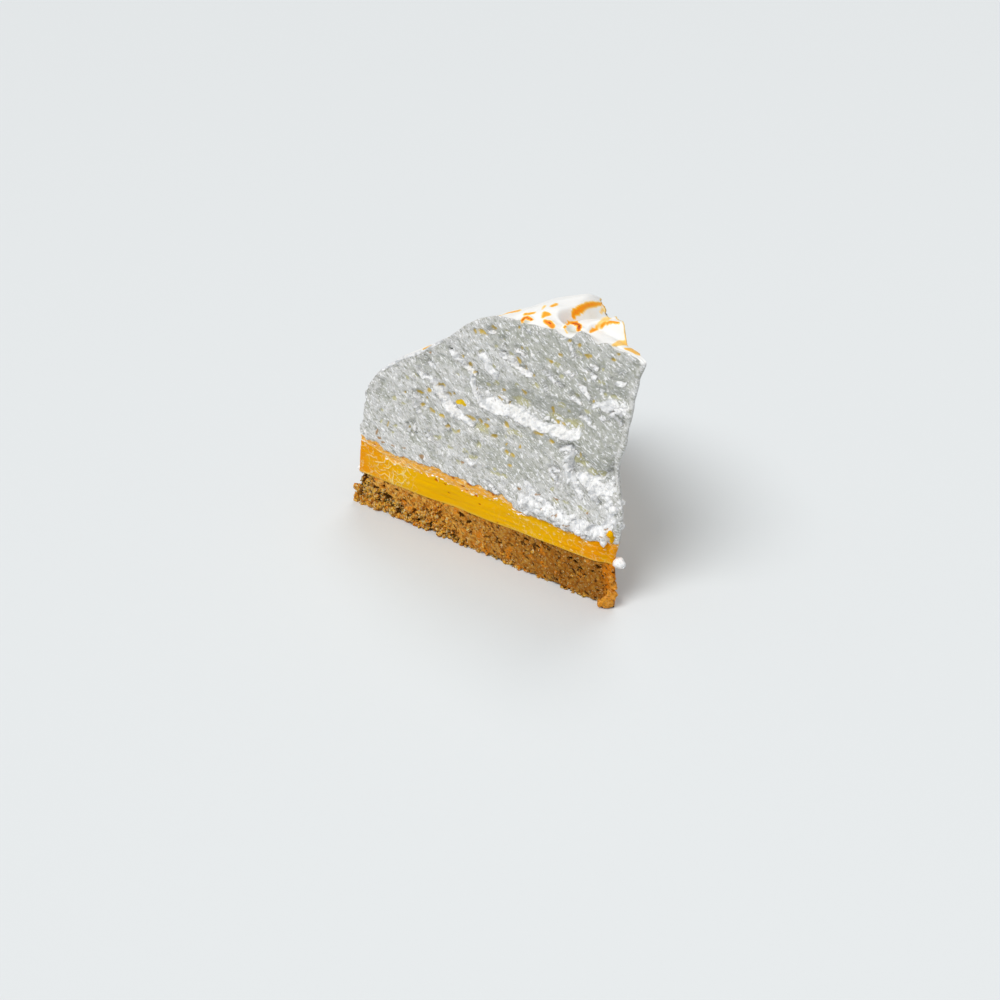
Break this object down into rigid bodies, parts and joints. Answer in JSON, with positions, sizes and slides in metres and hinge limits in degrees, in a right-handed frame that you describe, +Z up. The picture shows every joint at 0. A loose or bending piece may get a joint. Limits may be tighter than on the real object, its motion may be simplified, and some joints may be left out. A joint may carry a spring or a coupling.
{
  "type": "lime pie slice",
  "caption": "Wedge of pie with a pressed crumb base, a band of set citrus filling and a tall torched meringue dome with swirled petals on its crown.",
  "frame": {"origin": "under the middle of the slice's box, on the surface that it stands on", "axes": "+Z up; +X towards the point of the slice, -X towards its rim; the two cut faces stand on the -Y and +Y sides"},
  "size_m": [0.1182, 0.0893, 0.0919],
  "materials": {
    "crumb_base": "rough pressed biscuit crumb, golden brown with darker gaps and an oily gleam on loose grains",
    "lime_filling": "set yellow curd, moist and slightly glossy, paler and speckled under the meringue",
    "meringue": "white foam, torn and grainy at the cuts, smooth and satin on the dome with torched brown crests"
  },
  "bodies": {
    "root": {"crumb_base": "crumb_base", "lime_filling": "lime_filling", "meringue": "meringue"}
  },
  "joints": []
}
